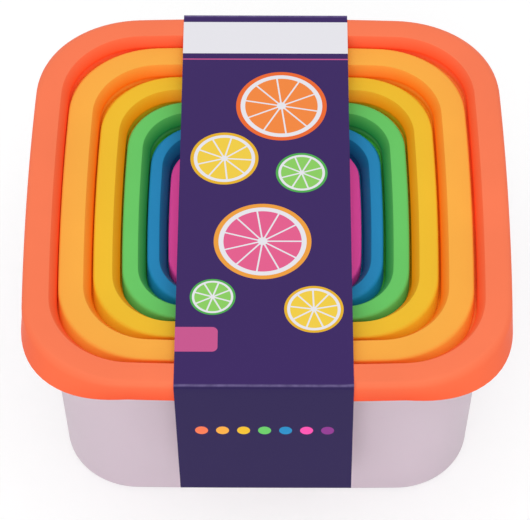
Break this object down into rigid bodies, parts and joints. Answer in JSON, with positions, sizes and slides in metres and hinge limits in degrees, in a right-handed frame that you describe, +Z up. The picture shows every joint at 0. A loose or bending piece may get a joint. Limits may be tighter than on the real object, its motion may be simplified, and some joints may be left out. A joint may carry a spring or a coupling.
{
  "type": "nesting snap lid food container set",
  "caption": "Nesting set of square food tubs with snap lids: tubs stand inside one another, the largest lid closes the set, smaller lids nest in its well, and a card sleeve bands the top.",
  "frame": {"origin": "on the table under the middle of the largest tub", "axes": "+Z up; -Y towards the front of the set, where the sleeve's front flap hangs; +X to the right"},
  "size_m": [0.26, 0.262, 0.1234],
  "materials": {
    "frosted_tub": "frosted translucent, injection moulded",
    "lid_orange": "satin, injection moulded",
    "lid_amber": "satin, injection moulded",
    "lid_yellow": "satin, injection moulded",
    "lid_green": "satin, injection moulded",
    "lid_blue": "satin, injection moulded",
    "lid_pink": "satin, injection moulded",
    "lid_purple": "satin, injection moulded",
    "sleeve_card": "printed, coated"
  },
  "bodies": {
    "tub_1": {"tub_1": "frosted_tub"},
    "tub_2": {"tub_2": "frosted_tub"},
    "tub_3": {"tub_3": "frosted_tub"},
    "tub_4": {"tub_4": "frosted_tub"},
    "tub_5": {"tub_5": "frosted_tub"},
    "tub_6": {"tub_6": "frosted_tub"},
    "tub_7": {"tub_7": "frosted_tub"},
    "lid_1": {"lid_1_orange": "lid_orange"},
    "lid_2": {"lid_2_amber": "lid_amber"},
    "lid_3": {"lid_3_yellow": "lid_yellow"},
    "lid_4": {"lid_4_green": "lid_green"},
    "lid_5": {"lid_5_blue": "lid_blue"},
    "lid_6": {"lid_6_pink": "lid_pink"},
    "lid_7": {"lid_7_purple": "lid_purple"},
    "sleeve": {"card_sleeve": "sleeve_card"}
  },
  "joints": [
    {"name": "tub_2_lift", "type": "slide", "parent": "tub_1", "child": "tub_2", "axis": [0, 0, 1], "range_m": [0, 0.125]},
    {"name": "tub_3_lift", "type": "slide", "parent": "tub_2", "child": "tub_3", "axis": [0, 0, 1], "range_m": [0, 0.085]},
    {"name": "tub_4_lift", "type": "slide", "parent": "tub_3", "child": "tub_4", "axis": [0, 0, 1], "range_m": [0, 0.072]},
    {"name": "tub_5_lift", "type": "slide", "parent": "tub_4", "child": "tub_5", "axis": [0, 0, 1], "range_m": [0, 0.06]},
    {"name": "tub_6_lift", "type": "slide", "parent": "tub_5", "child": "tub_6", "axis": [0, 0, 1], "range_m": [0, 0.048]},
    {"name": "tub_7_lift", "type": "slide", "parent": "tub_6", "child": "tub_7", "axis": [0, 0, 1], "range_m": [0, 0.038]},
    {"name": "lid_1_lift", "type": "slide", "parent": "tub_7", "child": "lid_1", "axis": [0, 0, 1], "range_m": [0, 0.06]},
    {"name": "lid_2_lift", "type": "slide", "parent": "lid_1", "child": "lid_2", "axis": [0, 0, 1], "range_m": [0, 0.05]},
    {"name": "lid_3_lift", "type": "slide", "parent": "lid_2", "child": "lid_3", "axis": [0, 0, 1], "range_m": [0, 0.045]},
    {"name": "lid_4_lift", "type": "slide", "parent": "lid_3", "child": "lid_4", "axis": [0, 0, 1], "range_m": [0, 0.04]},
    {"name": "lid_5_lift", "type": "slide", "parent": "lid_4", "child": "lid_5", "axis": [0, 0, 1], "range_m": [0, 0.035]},
    {"name": "lid_6_lift", "type": "slide", "parent": "lid_5", "child": "lid_6", "axis": [0, 0, 1], "range_m": [0, 0.03]},
    {"name": "lid_7_lift", "type": "slide", "parent": "lid_6", "child": "lid_7", "axis": [0, 0, 1], "range_m": [0, 0.025]},
    {"name": "sleeve_lift", "type": "slide", "parent": "lid_7", "child": "sleeve", "axis": [0, 0, 1], "range_m": [0, 0.11]}
  ]
}
